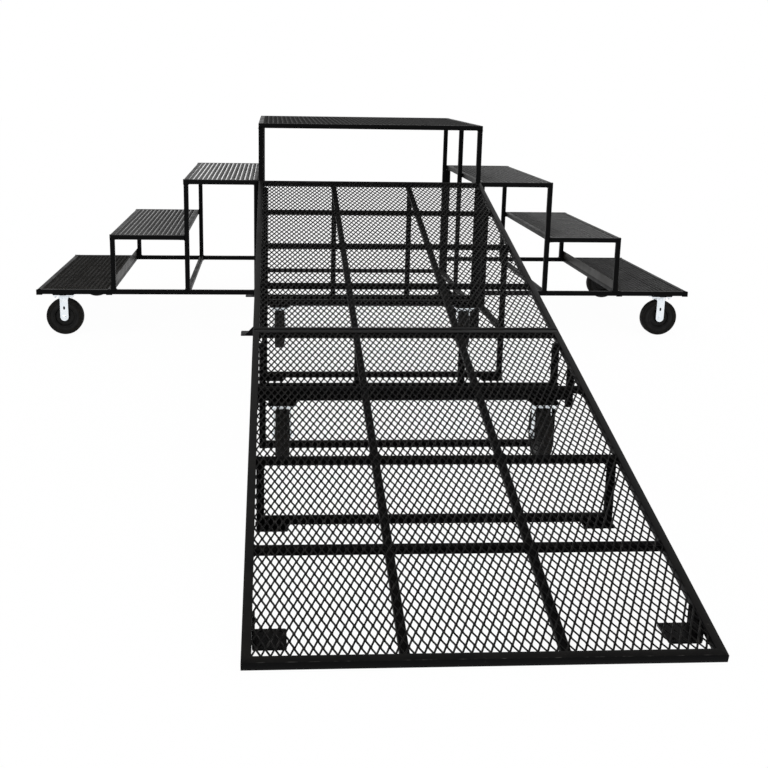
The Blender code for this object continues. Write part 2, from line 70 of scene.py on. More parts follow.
# places nearer than touch are one place; a face looks along an axis where its normal passes squareOn
touch = 0.0001
squareOn = 0.9

nodeBody = {}
for body, members in frame["record"]["behaviour"]["bodies"].items():
    for member in members:
        nodeBody[member] = body


# working in edit mode

def deselectAll():
    bpy.ops.object.select_all(action="DESELECT")


def only(obj):
    deselectAll()
    obj.select_set(True)
    bpy.context.view_layer.objects.active = obj


def edit(obj=None):
    if obj:
        only(obj)
    bpy.ops.object.mode_set(mode="EDIT")


def leave():
    bpy.ops.object.mode_set(mode="OBJECT")
    return bpy.context.object


def pickAll():
    bpy.ops.mesh.select_all(action="SELECT")


def pick(kind, test):
    # selects the vertices, edges or faces that pass the test, and nothing else
    bpy.ops.mesh.select_mode(type=kind)
    bpy.ops.mesh.select_all(action="DESELECT")
    mesh = bmesh.from_edit_mesh(bpy.context.object.data)
    items = {"VERT": mesh.verts, "EDGE": mesh.edges, "FACE": mesh.faces}[kind]
    for item in items:
        if test(item):
            item.select_set(True)
    mesh.select_flush_mode()
    bmesh.update_edit_mesh(bpy.context.object.data)


def span(edge):
    return edge.verts[1].co - edge.verts[0].co


def insets(*steps):
    # each step insets every picked face by itself, by a thickness and a depth
    for thickness, depth in steps:
        bpy.ops.mesh.inset(thickness=thickness, depth=depth, use_individual=True)


def cube(centre, size):
    # a box, left in edit mode
    deselectAll()
    bpy.ops.mesh.primitive_cube_add(size=1, location=centre, scale=size)
    bpy.ops.object.transform_apply()
    edit()


def cylinder(radius, length, corners, centre=(0, 0, 0), alongX=True):
    # a closed cylinder along X or Z, left in edit mode
    deselectAll()
    turn = (0, math.pi / 2, 0) if alongX else (0, 0, 0)
    bpy.ops.mesh.primitive_cylinder_add(
        vertices=corners, radius=radius, depth=length, rotation=turn, location=centre
    )
    bpy.ops.object.transform_apply()
    edit()


def smooth(obj, angle=jointAngle):
    only(obj)
    bpy.ops.object.shade_smooth_by_angle(angle=angle)
    return obj


def turnedOut(obj):
    edit(obj)
    pickAll()
    bpy.ops.mesh.normals_make_consistent(inside=False)
    return leave()


def applied(obj, kind, **settings):
    # adds a modifier and applies it at once
    only(obj)
    made = obj.modifiers.new(kind.lower(), kind)
    for key, value in settings.items():
        setattr(made, key, value)
    bpy.ops.object.modifier_apply(modifier=made.name)


def cutOut(obj, tool):
    applied(obj, "BOOLEAN", operation="DIFFERENCE", object=tool, solver="EXACT")
    bpy.data.objects.remove(tool)


def joined(pieces, name):
    only(pieces[0])
    for piece in pieces:
        piece.select_set(True)
    bpy.ops.object.join()
    made = pieces[0]
    made.name = made.data.name = name
    return made


def copied(master, matrix=None, name=None):
    made = master.copy()
    made.data = master.data.copy()
    bpy.context.scene.collection.objects.link(made)
    if matrix is not None:
        made.data.transform(matrix)
    if name:
        made.name = name
    return made


def middleOf(node):
    low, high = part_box(node)
    return (low + high) / 2


def dress(obj, node, material):
    # the piece stands for this CAD node and moves with its body
    obj.data.materials.clear()
    obj.data.materials.append(material)
    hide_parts(node)
    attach(obj, nodeBody[node])


# finishes

def addNode(tree, kind, inputs=None, **settings):
    node = tree.nodes.new(kind)
    for key, value in settings.items():
        setattr(node, key, value)
    for key, value in (inputs or {}).items():
        if isinstance(value, bpy.types.NodeSocket):
            tree.links.new(value, node.inputs[key])
        else:
            node.inputs[key].default_value = value
    return node


def noise(tree, place, scale, detail, roughness=0.55, stretch=None):
    if stretch:
        place = addNode(tree, "ShaderNodeMapping", {"Vector": place, "Scale": stretch}).outputs[0]
    inputs = {"Vector": place, "Scale": scale, "Detail": detail, "Roughness": roughness}
    return addNode(tree, "ShaderNodeTexNoise", inputs).outputs[0]


def between(tree, value, low, high, start=0.0, end=1.0):
    inputs = {"Value": value, "From Min": low, "From Max": high, "To Min": start, "To Max": end}
    return addNode(tree, "ShaderNodeMapRange", inputs, clamp=True).outputs[0]


def calc(tree, operation, first, second=0.0):
    return addNode(tree, "ShaderNodeMath", {0: first, 1: second}, operation=operation).outputs[0]


def times(tree, first, second):
    return calc(tree, "MULTIPLY", first, second)


def blendColour(tree, factor, first, second):
    inputs = {0: factor, 6: first, 7: second}
    return addNode(tree, "ShaderNodeMix", inputs, data_type="RGBA").outputs[2]


def newFinish(name, specular, metallic=0.0):
    made = bpy.data.materials.new(name)
    made.use_nodes = True
    tree = made.node_tree
    shader = tree.nodes["Principled BSDF"]
    shader.inputs["Specular IOR Level"].default_value = specular
    shader.inputs["Metallic"].default_value = metallic
    place = tree.nodes.new("ShaderNodeTexCoord").outputs["Object"]
    return made, tree, shader, place


def connect(tree, shader, colour, rough, grain, bump):
    tree.links.new(colour, shader.inputs["Base Color"])
    tree.links.new(rough, shader.inputs["Roughness"])
    strength, distance = bump
    inputs = {"Height": grain, "Strength": strength, "Distance": distance}
    tree.links.new(addNode(tree, "ShaderNodeBump", inputs).outputs[0], shader.inputs["Normal"])


def facing(tree):
    # how far a surface faces up, 0 to 1, and how close it is to a tube's rounded corner
    normal = tree.nodes.new("ShaderNodeNewGeometry").outputs["True Normal"]
    parts = addNode(tree, "ShaderNodeSeparateXYZ", {0: normal}).outputs
    sizes = [calc(tree, "ABSOLUTE", parts[axis]) for axis in ("X", "Y", "Z")]
    across = calc(tree, "MAXIMUM", sizes[0], sizes[1])
    return parts["Z"], calc(tree, "MINIMUM", across, sizes[2])


def grey(level, warmth=0.03):
    return (level, level * (1 - warmth), level * (1 - 2 * warmth), 1)


# a noise is scale, detail, roughness and stretch; a cut is where its mark begins and is full
paintMarks = {
    "cloud": (9, 5),
    "grain": (260, 3),
    "upright": (55, 3, 0.6, (1, 1, 9)),
    "uprightCut": (0.66, 0.72),
    "lengthwise": (70, 2, 0.6, (9, 1, 1)),
    "lengthwiseCut": (0.68, 0.74),
    "scuffCut": (0.48, 0.66),
    "edge": (38, 4),
    "edgeCut": (0.50, 0.66),
    "cornerCut": (0.32, 0.55),
    "upCut": (0.55, 0.95),
    "dustCut": (0.36, 0.66),
    "grainCut": (0.25, 0.75, 0.5, 1.0),
    "roughCut": (0.3, 0.7),
    "wornRough": 0.2,
    "dustyRough": 0.5,
    "raisedCut": (-0.0042, -0.0012),
    "sunkenShine": 0.12,
    "bump": (0.25, 0.0004),
}
paintLook = {
    "black": (0.0028, 0.0028, 0.0030, 1),
    "rubbed": (0.055, 0.053, 0.050, 1),
    "dust": (0.050, 0.045, 0.038, 1),
    "specular": 0.035,
    "dustShare": 0.12,
    "rubbedShare": 0.5,
    "rough": (0.34, 0.46),
    "index": 1.5,
    "edgeTop": None,
}


def makePaint(name, look):
    # edgeTop is the height of a tread's mesh, whose raised edges feet rub bright
    made, tree, shader, place = newFinish(name, look["specular"])
    shader.inputs["IOR"].default_value = look["index"]

    def pattern(mark):
        return noise(tree, place, *paintMarks[mark])

    def cut(value, mark):
        return between(tree, value, *paintMarks[mark])

    up, corner = facing(tree)
    cloud, grain = pattern("cloud"), pattern("grain")
    upright = cut(pattern("upright"), "uprightCut")
    lengthwise = cut(pattern("lengthwise"), "lengthwiseCut")
    scuffs = times(tree, calc(tree, "MAXIMUM", upright, lengthwise), cut(cloud, "scuffCut"))
    edges = times(tree, cut(corner, "cornerCut"), cut(pattern("edge"), "edgeCut"))
    worn = times(tree, calc(tree, "MAXIMUM", scuffs, edges), look["rubbedShare"])
    # dust on upward faces; on the tread meshes this light dust is also a painted glint
    dusty = times(tree, cut(up, "upCut"), cut(cloud, "dustCut"))
    dusty = times(tree, times(tree, dusty, look["dustShare"]), cut(grain, "grainCut"))
    colour = blendColour(tree, dusty, look["black"], look["dust"])
    colour = blendColour(tree, worn, colour, look["rubbed"])
    rough = between(tree, cloud, *paintMarks["roughCut"], *look["rough"])
    rough = calc(tree, "ADD", rough, times(tree, worn, paintMarks["wornRough"]))
    rough = calc(tree, "ADD", rough, times(tree, dusty, paintMarks["dustyRough"]))
    if look["edgeTop"] is not None:
        height = addNode(tree, "ShaderNodeSeparateXYZ", {0: place}).outputs["Z"]
        low, high = [look["edgeTop"] + drop for drop in paintMarks["raisedCut"]]
        shine = times(tree, between(tree, height, low, high, paintMarks["sunkenShine"]), look["specular"])
        tree.links.new(shine, shader.inputs["Specular IOR Level"])
    connect(tree, shader, colour, rough, grain, paintMarks["bump"])
    return made


# a darker copy of the black paint for the joists and for the posts, rails and legs under the ramp: its
# darker black is painted shade, and it also carries less dust and wear
shadeLook = {
    "black": (0.0012, 0.0012, 0.0013, 1),
    "specular": 0.012,
    "dustShare": 0.03,
    "rubbedShare": 0.2,
}
meshLook = {
    "black": (0.003, 0.003, 0.0032, 1),
    "specular": 0.040,
    "dustShare": 0.15,
    "rubbedShare": 0.6,
}
# light grey scuffs and corners for the right wing's upper tread tubes: a painted highlight along their
# edges, partly wear
wearAndHighlightLook = {"rubbed": (0.42, 0.40, 0.37, 1), "rubbedShare": 0.9}
kickLooks = {
    "left": {"black": (0.005, 0.004, 0.003, 1), "dust": (0.024, 0.017, 0.011, 1)},
    "right": {"black": (0.009, 0.0075, 0.006, 1), "dust": (0.036, 0.028, 0.019, 1)},
}
# how light each tread's dust is, with the values in the order of treadKeys; the light grey dust, lightest on
# the high left tread, is partly dust and partly a painted glint of the mesh
treadKeys = ("black", "dust", "dustShare", "specular", "index", "rough")
treadDustAndGlintLooks = {
    "left_high": (grey(0.006), grey(0.30), 0.60, 1.0, 1.75, (0.16, 0.28)),
    "left_mid": (grey(0.005), grey(0.20), 0.60, 0.9, 1.55, (0.22, 0.34)),
    "left_low": (grey(0.0055, 0.12), grey(0.260, 0.16), 0.90, 0.22, 1.5, (0.36, 0.50)),
    "right_high": (grey(0.004), grey(0.16), 0.60, 0.75, 1.5, (0.24, 0.34)),
    "right_mid": (grey(0.004), grey(0.18), 0.60, 0.7, 1.5, (0.24, 0.34)),
    "right_low": (grey(0.003), grey(0.15, 0.06), 0.60, 0.35, 1.5, (0.26, 0.40)),
    "deck": (grey(0.004), grey(0.060, 0.06), 0.50, 0.27, 1.5, (0.26, 0.40)),
}
blackPaint = makePaint("black_paint_worn", paintLook)
shadePaint = makePaint("black_paint_painted_shade_less_worn", dict(paintLook, **shadeLook))
meshPaint = makePaint("mesh_paint_worn", dict(paintLook, **meshLook))
wearAndHighlightPaint = makePaint("black_paint_worn_and_painted_highlight_edges", dict(paintLook, **wearAndHighlightLook))
kickPaints = {}
for name, finish in (("left", "kick_plate_brown"), ("right", "kick_plate_dusty")):
    look = dict(paintLook, dustShare=0.5, specular=0.10, **kickLooks[name])
    kickPaints[name] = makePaint(finish, look)
treadDustAndGlintPaints = {}
for name, values in treadDustAndGlintLooks.items():
    node = "platform_deck_mesh" if name == "deck" else f"{name.replace('_', '_wing_')}_tread_mesh"
    look = {**paintLook, **meshLook, **dict(zip(treadKeys, values)), "edgeTop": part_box(node)[1].z}
    treadDustAndGlintPaints[name] = makePaint(f"tread_paint_dust_and_painted_glint_{name}", look)

zincLook = {
    "specular": 0.5,
    "spangle": 160,
    "dark": (0.84, 0.88, 0.92, 1),
    "bright": (0.93, 0.96, 0.98, 1),
    "cloud": (26, 4),
    "cloudCut": (0.35, 0.7, 0.0, 0.55),
    "cloudy": (0.74, 0.81, 0.87, 1),
    "stain": (60, 5, 0.7),
    "stainCut": (0.56, 0.72),
    "stained": (0.45, 0.42, 0.37, 1),
    "stainShare": 0.30,
    "stainRough": 0.2,
    "rough": (0.3, 0.7, 0.22, 0.40),
    "grain": (340, 2),
    "bump": (0.15, 0.0003),
}


def makeZinc(name, look):
    made, tree, shader, place = newFinish(name, look["specular"], 1.0)
    cells = {"Vector": place, "Scale": look["spangle"]}
    spangle = addNode(tree, "ShaderNodeTexVoronoi", cells).outputs["Color"]
    spangle = addNode(tree, "ShaderNodeSeparateXYZ", {0: spangle}).outputs["X"]
    cloud = noise(tree, place, *look["cloud"])
    stain = between(tree, noise(tree, place, *look["stain"]), *look["stainCut"])
    colour = blendColour(tree, spangle, look["dark"], look["bright"])
    colour = blendColour(tree, between(tree, cloud, *look["cloudCut"]), colour, look["cloudy"])
    colour = blendColour(tree, times(tree, stain, look["stainShare"]), colour, look["stained"])
    rough = between(tree, cloud, *look["rough"])
    rough = calc(tree, "ADD", rough, times(tree, stain, look["stainRough"]))
    connect(tree, shader, colour, rough, noise(tree, place, *look["grain"]), look["bump"])
    return made


rubberLook = {
    "specular": 0.12,
    "cloud": (22, 5),
    "cloudCut": (0.3, 0.7, 0.15, 0.75),
    "specks": (48, 5, 0.7),
    "speckCut": (0.42, 0.72),
    "dark": (0.0035, 0.0035, 0.0035, 1),
    "dusty": (0.021, 0.017, 0.012, 1),
    "rough": (0.3, 0.7, 0.66, 0.84),
    "grain": (420, 3),
    "bump": (0.4, 0.0006),
}
centreLook = {
    "specular": 0.14,
    "cloud": (30, 5),
    "cloudCut": (0.4, 0.7),
    "specks": None,
    "dark": (0.0025, 0.0025, 0.0025, 1),
    "dusty": (0.010, 0.0095, 0.009, 1),
    "rough": (0.3, 0.7, 0.42, 0.6),
    "grain": (240, 3),
    "bump": (0.25, 0.0005),
}


def makeDull(name, look):
    made, tree, shader, place = newFinish(name, look["specular"])
    cloud = noise(tree, place, *look["cloud"])
    dust = between(tree, cloud, *look["cloudCut"])
    if look["specks"]:
        specks = noise(tree, place, *look["specks"])
        dust = times(tree, between(tree, specks, *look["speckCut"]), dust)
    colour = blendColour(tree, dust, look["dark"], look["dusty"])
    rough = between(tree, cloud, *look["rough"])
    connect(tree, shader, colour, rough, noise(tree, place, *look["grain"]), look["bump"])
    return made


zinc = makeZinc("zinc_plated", zincLook)
rubber = makeDull("rubber_dusty", rubberLook)
wheelCentre = makeDull("wheel_centre_grey", centreLook)
print("finishes made")


# square tube, welds and plates, each modelled once

def makeTube(wide, deep):
    # one metre along Y, long edges rounded, both ends capped and set in
    cube((0, 0, 0), (wide, 1, deep))
    pick("EDGE", lambda edge: abs(span(edge).y) > wide)
    bpy.ops.mesh.bevel(offset=stock["tubeCorner"], segments=2, affect="EDGES")
    pick("FACE", lambda face: abs(face.normal.y) > squareOn)
    insets((stock["capInset"], 0), (stock["capRim"], -stock["capDepth"]))
    return smooth(leave())


weldLook = {
    "leg": 0.0040,
    "throat": 0.0028,
    "root": 0.0004,
    "ripple": 0.0005,
    "perSide": 7,
    "crown": 0.0005,
    "angle": math.radians(70),
}


def makeWeld(size, deep):
    # a fillet bead round a tube that butts against a face at Y = 0
    leg, throat = weldLook["leg"], weldLook["throat"]
    outer, ridge, inner = size + 2 * leg, size + 2 * throat, size - weldLook["root"]
    deselectAll()
    bpy.ops.mesh.primitive_plane_add(size=outer)
    edit()
    bpy.ops.transform.rotate(value=math.pi / 2, orient_axis="X", center_override=(0, 0, 0))
    bpy.ops.mesh.delete(type="ONLY_FACE")
    pickAll()
    bpy.ops.mesh.subdivide(number_cuts=weldLook["perSide"] - 1)
    pickAll()
    for rise, grow in ((leg - throat, ridge / outer), (throat, inner / ridge), (-leg, 1)):
        bpy.ops.mesh.extrude_edges_move(TRANSFORM_OT_translate={"value": (0, rise, 0)})
        bpy.ops.transform.resize(value=(grow, 1, grow), center_override=(0, 0, 0))
    made = leave()
    pitch = outer / weldLook["perSide"]
    for vertex in made.data.vertices:
        if abs(vertex.co.y - (leg - throat)) < touch:
            beat = round((vertex.co.x + vertex.co.z) / pitch) % 2
            grow = 1 + (beat - 0.5) * weldLook["ripple"] / size * 2
            vertex.co.x *= grow
            vertex.co.z *= grow
    edit(made)
    pick("EDGE", lambda edge: all(abs(end.co.y) < touch for end in edge.verts))
    bpy.ops.mesh.bridge_edge_loops()
    leave()
    for vertex in made.data.vertices:
        vertex.co.z -= math.copysign((size - deep) / 2, vertex.co.z)
    return smooth(turnedOut(made), weldLook["angle"])


depths = {"tube": tube, "joist": joist}
tubeMaster = {kind: makeTube(tube, deep) for kind, deep in depths.items()}
weldMaster = {kind: makeWeld(tube, deep) for kind, deep in depths.items()}
masters = [*tubeMaster.values(), *weldMaster.values()]
print("tube and weld masters made")

welded, footWelded, unwelded = (True, True), (True, False), (False, False)


def axes(along):
    along = along.normalized()
    up = Vector((0, 1, 0)) if abs(along.z) > squareOn else Vector((0, 0, 1))
    across = along.cross(up).normalized()
    return across, along, across.cross(along)


def run(kind, start, end, welds=welded, mitres=(None, None), room=None):
    # a length of tube between two centre points, with its beads; a mitre names the outer side,
    # and room is the box that the beads stay in
    start, end = Vector(start), Vector(end)
    across, along, up = axes(end - start)
    turn = Matrix((across, along, up)).transposed().to_4x4()
    piece = copied(tubeMaster[kind])
    grow = ((end - start).length - 1) / 2
    for vertex in piece.data.vertices:
        far = vertex.co.y > 0
        lean = mitres[1] if far else mitres[0]
        shift = grow
        if lean is not None:
            lean = Vector(lean)
            shift += lean.dot(across) * vertex.co.x + lean.dot(up) * vertex.co.z
        vertex.co.y += shift if far else -shift
    piece.data.transform(Matrix.Translation((start + end) / 2) @ turn)
    made = [piece]
    for wanted, point, flip in ((welds[0], start, 1), (welds[1], end, -1)):
        if not wanted:
            continue
        turn = Matrix((across * flip, along * flip, up)).transposed().to_4x4()
        bead = copied(weldMaster[kind], Matrix.Translation(point) @ turn)
        if room:
            low, high = room
            crown = weldLook["crown"]
            for vertex in bead.data.vertices:
                for axis in range(3):
                    least, most = low[axis] - crown, high[axis] + crown
                    vertex.co[axis] = min(max(vertex.co[axis], least), most)
        made.append(bead)
    return made


def crossTube(postX, y, z, room=None):
    # along X, between the posts at either side
    return run("tube", (-postX + half, y, z), (postX - half, y, z), room=room)


plateLook = {
    "corner": 0.006,
    "rim": 0.0007,
    "holeRadius": 0.0048,
    "holeCorners": 20,
    "holeInset": 0.014,
    "drill": 0.03,
    "gussetTip": 0.003,
}


def makePlate(low, high, corner=plateLook["corner"], taper=0, holes=()):
    # flat plate between two corners; its lower edges slope in along X by the taper
    low, high = Vector(map(min, low, high)), Vector(map(max, low, high))
    size, centre = high - low, (low + high) / 2
    thin = min(range(3), key=lambda axis: size[axis])
    cube(centre, size)
    pick("EDGE", lambda edge: abs(span(edge)[thin]) > size[thin] / 2)
    if corner:
        bpy.ops.mesh.bevel(offset=corner, segments=3, affect="EDGES")
    if taper:
        pick("VERT", lambda vertex: vertex.co.z < centre.z)
        bpy.ops.transform.resize(value=(1 - 2 * taper / size.x, 1, 1), center_override=centre)
    pick("FACE", lambda face: abs(face.normal[thin]) > squareOn)
    insets((plateLook["rim"], 0))
    made = leave()
    for spot in holes:
        cylinder(plateLook["holeRadius"], plateLook["drill"], plateLook["holeCorners"], spot, False)
        cutOut(made, leave())
    return smooth(made)


def cutAbove(piece, point, normal):
    edit(piece)
    pickAll()
    bpy.ops.mesh.bisect(plane_co=point, plane_no=normal, use_fill=True, clear_outer=True)
    return leave()


def gussetPlate(corner, along, look):
    # half of a plate, cut away above the slope from its peak to its toe
    reach, height = look["gussetReach"], look["gussetHeight"]
    foot, along = Vector(corner), Vector(along)
    across = Vector((-along.y, along.x, 0)) * plate / 2
    far = foot + along * reach + Vector((0, 0, height))
    piece = makePlate(foot - across, far + across, corner=0)
    peak = foot + Vector((0, 0, height - plateLook["gussetTip"]))
    return cutAbove(piece, peak, along * height + Vector((0, 0, reach)))


# expanded metal: one diamond, repeated

meshLattice = {
    "short": 0.0240,
    "long": 0.0520,
    "strand": 0.0044,
    "bond": 0.0060,
    "tilt": 0.0022,
    "tiltFrom": 0.45,
    "tiltReach": 0.006,
    "thickness": 0.0030,
    "drop": 0.0024,
}


def makeLattice(name, width, length, longAcross):
    # a panel in the XY plane, centred on X, from Y = 0 to -length; longAcross turns the diamonds
    pitchX, pitchY = meshLattice["short"], meshLattice["long"]
    if longAcross:
        pitchX, pitchY = pitchY, pitchX
    countX, countY = round(width / pitchX), round(length / pitchY)
    halfX, halfY = width / countX / 2, length / countY / 2
    deselectAll()
    bpy.ops.mesh.primitive_circle_add(vertices=4, radius=1, fill_type="NGON")
    edit()
    bpy.ops.transform.resize(value=(halfX, halfY, 1))
    bpy.ops.mesh.inset(thickness=meshLattice["strand"] / 2, depth=0)
    shortAxis, longAxis = (1, 0) if longAcross else (0, 1)
    halfShort = (halfX, halfY)[shortAxis]
    rim = halfShort - 3 * touch
    pick("FACE", lambda face: face.calc_center_median().length < touch)
    bpy.ops.mesh.delete(type="FACE")
    # the hole's two blunt corners get the length of a bond, and lean up and down
    pick("VERT", lambda v: abs(v.co[longAxis]) < touch and abs(v.co[shortAxis]) < rim)
    bpy.ops.mesh.bevel(offset=meshLattice["bond"] / 2, segments=1, affect="VERTICES")
    made = leave()
    for vertex in made.data.vertices:
        out, along = abs(vertex.co[shortAxis]), abs(vertex.co[longAxis])
        if halfShort * meshLattice["tiltFrom"] < out <= rim and along < meshLattice["tiltReach"]:
            vertex.co.z += math.copysign(meshLattice["tilt"], vertex.co[shortAxis])
    second = copied(made, Matrix.Translation((halfX, -halfY, 0)))
    made = joined([made, second], name)
    for offset, count in (((2 * halfX, 0, 0), countX + 2), ((0, -2 * halfY, 0), countY + 2)):
        applied(
            made, "ARRAY", use_relative_offset=False, use_constant_offset=True,
            constant_offset_displace=offset, count=count,
        )
    edit(made)
    pickAll()
    bpy.ops.mesh.remove_doubles(threshold=touch)
    bpy.ops.transform.translate(value=(-width / 2 - halfX, 0, 0))
    limits = (
        ((width / 2, 0, 0), (1, 0, 0)),
        ((-width / 2, 0, 0), (-1, 0, 0)),
        ((0, 0, 0), (0, 1, 0)),
        ((0, -length, 0), (0, -1, 0)),
    )
    for point, normal in limits:
        pickAll()
        bpy.ops.mesh.bisect(plane_co=point, plane_no=normal, clear_outer=True)
    leave()
    applied(made, "SOLIDIFY", thickness=meshLattice["thickness"], offset=-1)
    print(name, len(made.data.polygons), "faces")
    return made


# levels and edges that several modules share

deckLow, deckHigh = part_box("platform_deck_frame")
front, back = deckLow.y, deckHigh.y
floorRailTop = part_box("left_wing_low_tread_mesh")[1].z
floorRailZ = floorRailTop - half
baseBottom = floorRailTop - tube
joistTop = stock["meshThickness"] + gap
joistDrop = joistTop + joist / 2
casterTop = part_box("left_front_fork")[1].z
mountLook = {"margin": 0.002, "corner": 0.003, "taper": 0.0055}
farOff = 9.0


def ring(low, high):
    # four mitred tubes round a deck, their tops at high.z
    z = high.z - half
    left, right = low.x + half, high.x - half
    near, far = low.y + half, high.y - half
    rails = (
        ((left, near, z), (left, far, z), (-1, 0, 0)),
        ((right, near, z), (right, far, z), (1, 0, 0)),
        ((left, near, z), (right, near, z), (0, -1, 0)),
        ((left, far, z), (right, far, z), (0, 1, 0)),
    )
    pieces = []
    for start, end, out in rails:
        pieces += run("tube", start, end, unwelded, (out, out))
    return pieces


def grid(low, high, lengthwise, crosswise):
    # long joists at the X places, cut where the cross joists at the Y places pass,
    # with their beads under the deck's mesh
    room = low, Vector((high.x, high.y, high.z - joistTop - weldLook["crown"]))
    z = high.z - joistDrop
    pieces = []
    for y in crosswise:
        pieces += run("joist", (low.x + tube, y, z), (high.x - tube, y, z), room=room)
    stops = [low.y + tube] + [y + side for y in sorted(crosswise) for side in (-half, half)]
    stops.append(high.y - tube)
    for x in lengthwise:
        for start, end in zip(stops[::2], stops[1::2]):
            pieces += run("joist", (x, start, z), (x, end, z), room=room)
    return pieces


def roomBetween(bottom, top):
    return (-farOff, -farOff, bottom), (farOff, farOff, top)


def mountPlate(fork, top):
    # the plate over a caster, a little larger than the caster's own
    low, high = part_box(fork)
    margin = mountLook["margin"]
    return makePlate(
        (low.x - margin, low.y - margin, casterTop),
        (high.x + margin, high.y + margin, top),
        corner=mountLook["corner"],
        taper=mountLook["taper"],
    )


def assemble(pieces, name, node, paint=blackPaint):
    dress(joined(pieces, name), node, paint)


# platform

thirds = [deckLow.x + (deckHigh.x - deckLow.x) * step / 3 for step in (1, 2)]
depthThirds = [front + (back - front) * step / 3 for step in (1, 2)]
assemble(ring(deckLow, deckHigh), "platform_deck_ring", "platform_deck_frame")
pieces = grid(deckLow, deckHigh, thirds, depthThirds)
assemble(pieces, "platform_deck_joists", "platform_deck_frame", shadePaint)

stretcherZ = middleOf("platform_middle_stretcher").z
for name, side in bothSides:
    node = f"platform_{name}_leg_frame"
    low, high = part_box(node)
    x = side * (deckHigh.x - half)
    legs = (low.y + half, (low.y + high.y) / 2, high.y - half)
    pieces = []
    for y in legs:
        pieces += run("tube", (x, y, plate), (x, y, high.z + gap))
        footY = min(max(y, low.y + tube), high.y - tube)
        inner = x - side * (2 * tube - half)
        pieces.append(makePlate((x + side * half, footY - tube, 0), (inner, footY + tube, plate)))
    for start, end in zip(legs, legs[1:]):
        pieces += run("tube", (x, start + half, stretcherZ), (x, end - half, stretcherZ))
    assemble(pieces, f"platform_{name}_legs", node)

for name in ("middle", "back"):
    node = f"platform_{name}_stretcher"
    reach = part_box(node)[1].x + gap
    y, z = middleOf(node).yz
    pieces = run("tube", (-reach, y, z), (reach, y, z))
    assemble(pieces, f"platform_{name}_cross_stretcher", node)
print("platform frame made")


# stair wings

wingLook = {
    "gussetReach": 0.054,
    "gussetHeight": 0.055,
    "footWidth": 4 * tube,
    "kickThickness": 0.0032,
    "kickSink": 0.001,
    "kickCorner": 0.004,
}

for name, side in bothSides:
    wingLow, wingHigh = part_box(f"{name}_wing_front_frame")
    inner, outer = sorted((abs(wingLow.x), abs(wingHigh.x)))
    step = (outer - inner) / 3
    levels = {level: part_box(f"{name}_wing_{level}_tread_mesh")[1].z for level in ("low", "mid", "high")}
    highZ, midZ = levels["high"] - half, levels["mid"] - half
    up, outward, inward = (0, 0, 1), (side, 0, 0), (-side, 0, 0)
    foot = wingLook["footWidth"]
    for end in ("front", "back"):
        node = f"{name}_wing_{end}_frame"
        low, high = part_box(node)
        y = low.y + half if end == "front" else high.y - half

        def at(distance, z):
            return (side * (inner + distance), y, z)

        tubes = (
            (at(half, plate), at(half, highZ), (None, inward)),
            (at(half, highZ), at(step - half, highZ), (up, up)),
            (at(step - half, floorRailTop), at(step - half, highZ), (None, outward)),
            (at(step, midZ), at(2 * step - half, midZ), (None, up)),
            (at(2 * step - half, floorRailTop), at(2 * step - half, midZ), (None, outward)),
            (at(tube, floorRailZ), at(3 * step, floorRailZ), (None, None)),
        )
        pieces = []
        for start, stop, mitres in tubes:
            pieces += run("tube", start, stop, unwelded if mitres == (up, up) else footWelded, mitres)
        nearY, farY = (low.y, low.y + foot) if end == "front" else (high.y - foot, high.y)
        inset = plateLook["holeInset"]
        holeX = side * (inner + foot - inset)
        holes = [(holeX, nearY + inset, plate / 2), (holeX, farY - inset, plate / 2)]
        pieces.append(makePlate((side * inner, nearY, 0), (side * (inner + foot), farY, plate), holes=holes))
        pieces.append(gussetPlate(at(tube, plate), outward, wingLook))
        assemble(pieces, f"{name}_wing_{end}_stepped_frame", node)

    wheelX = abs(middleOf(f"{name}_front_wheel").x)
    for place, level in ((2, "low"), (1, "mid"), (0, "high")):
        node = f"{name}_wing_{level}_tread_frame"
        low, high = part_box(node)
        top = levels[level]
        z, joistZ = top - half, top - joistDrop
        nearY, farY = low.y - gap, high.y + gap
        innerX, outerX = inner + place * step, inner + (place + 1) * step
        room, under = roomBetween(-farOff, top), roomBetween(-farOff, top - joistTop)
        pieces = []
        for x in (innerX + half, outerX - half):
            pieces += run("tube", (side * x, nearY, z), (side * x, farY, z), room=room)
        stops = [innerX + tube, outerX - tube]
        if level == "low":
            stops[1:1] = [wheelX - half, wheelX + half]
            railZ = top - joistTop - half
            pieces += run("tube", (side * wheelX, nearY, railZ), (side * wheelX, farY, railZ), room=under)
            for caster in ("front", "back"):
                pieces.append(mountPlate(f"{name}_{caster}_fork", baseBottom - gap))
        for y in depthThirds:
            for start, end in zip(stops[::2], stops[1::2]):
                pieces += run("joist", (side * start, y, joistZ), (side * end, y, joistZ), room=under)
        # the right wing's upper tread tubes take the light-edged paint, a painted highlight that is partly
        # wear
        paint = wearAndHighlightPaint if name == "right" and level != "low" else blackPaint
        assemble(pieces, f"{name}_wing_{level}_tread_tubes", node, paint)
        if level == "low":
            kick = makePlate(
                (side * innerX, low.y, top - wingLook["kickSink"]),
                (side * (innerX + wingLook["kickThickness"]), high.y, high.z),
                corner=wingLook["kickCorner"],
            )
            kick.name = f"{name}_wing_kick_plate"
            dress(kick, node, kickPaints[name])

    node = f"{name}_wing_base_tube"
    low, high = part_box(node)
    x, z = middleOf(node).xz
    pieces = run("tube", (x, low.y - gap, z), (x, high.y + gap, z))
    assemble(pieces, f"{name}_wing_base_cross_tube", node)
print("stair wings made")


# ramp sections

